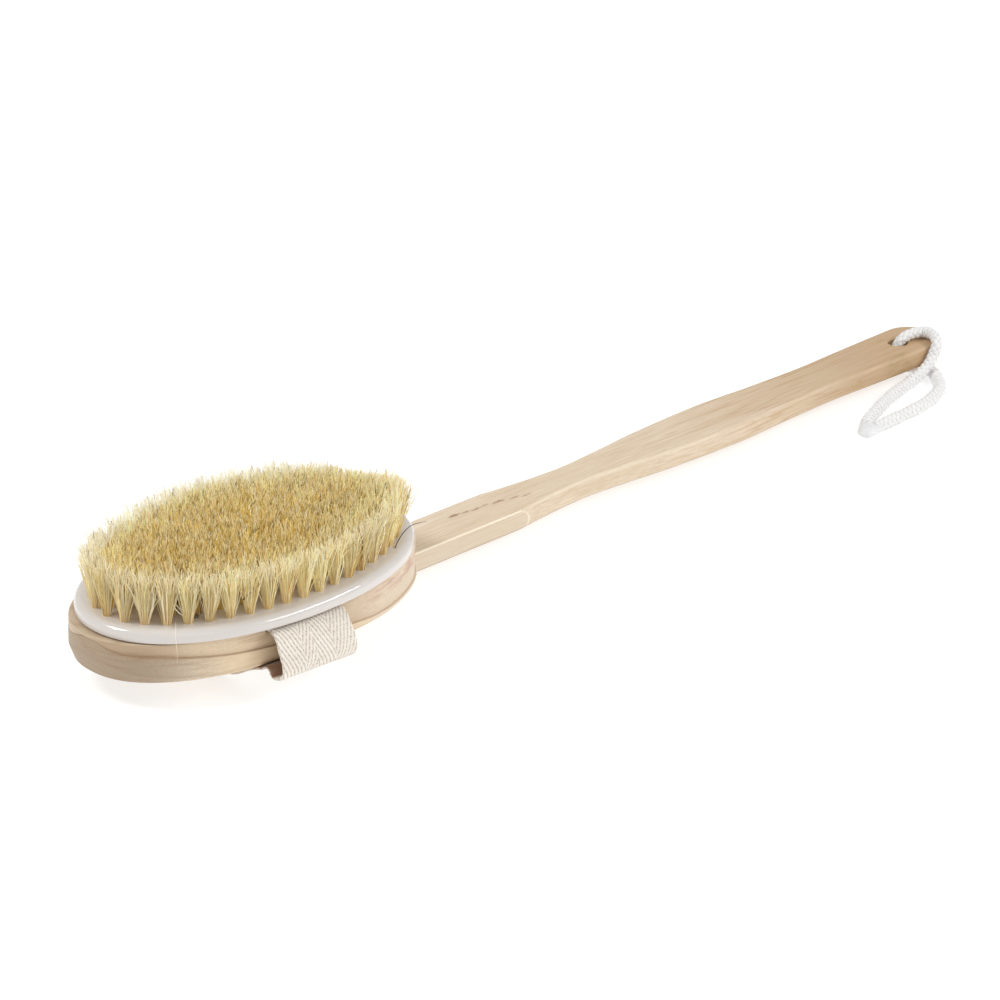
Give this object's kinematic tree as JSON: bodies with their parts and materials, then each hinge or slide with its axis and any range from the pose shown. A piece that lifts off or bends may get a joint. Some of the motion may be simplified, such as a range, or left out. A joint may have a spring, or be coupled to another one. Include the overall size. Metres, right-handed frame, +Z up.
{
  "type": "body dry brush",
  "caption": "Oval wooden body brush: bristle plate with rings of stiff tufts, hand strap across the back, long flat handle that slides off, and a hanging cord.",
  "frame": {"origin": "flat middle of the head's back, which is level with the handle's flat underside", "axes": "+X from the head along the handle to its hanging hole, +Z up, the way the bristles point, +Y to the left when looking from the head along the handle"},
  "size_m": [0.4063, 0.0896, 0.0422],
  "materials": {
    "head_wood": "satin",
    "handle_wood": "satin",
    "plate": "semi-gloss",
    "bristle": "matte fibre",
    "webbing": "woven",
    "cord": "braided",
    "seal": "melted, semi-matte",
    "steel": "plain wire"
  },
  "bodies": {
    "head": {"wooden_head": "head_wood", "bristle_plate": "plate", "bristle_ring_1": "bristle", "bristle_ring_2": "bristle", "bristle_ring_3": "bristle", "bristle_ring_4": "bristle", "bristle_ring_5": "bristle", "plate_brad_1": "steel", "plate_brad_2": "steel", "plate_brad_3": "steel", "plate_brad_4": "steel", "strap_staple_1": "steel", "strap_staple_2": "steel", "strap_staple_3": "steel", "strap_staple_4": "steel"},
    "strap": {"hand_strap": "webbing"},
    "handle": {"handle": "handle_wood", "cord_bight": "cord"},
    "cord": {"cord_strand_top": "cord", "cord_strand_low": "cord", "cord_seal": "seal"}
  },
  "joints": [
    {"name": "handle_slide", "type": "slide", "parent": "head", "child": "handle", "axis": [1, 0, 0], "range_m": [0, 0.058]},
    {"name": "strap_pull", "type": "slide", "parent": "head", "child": "strap", "axis": [0, 0, -1], "range_m": [0, 0.012], "stiffness_N_per_m": 400, "deforming": ["hand_strap"]},
    {"name": "cord_swing", "type": "hinge", "parent": "handle", "child": "cord", "pos_m": [0.3264, -0.0132, 0], "axis": [0, 0, 1], "range_deg": [0, 40]}
  ]
}
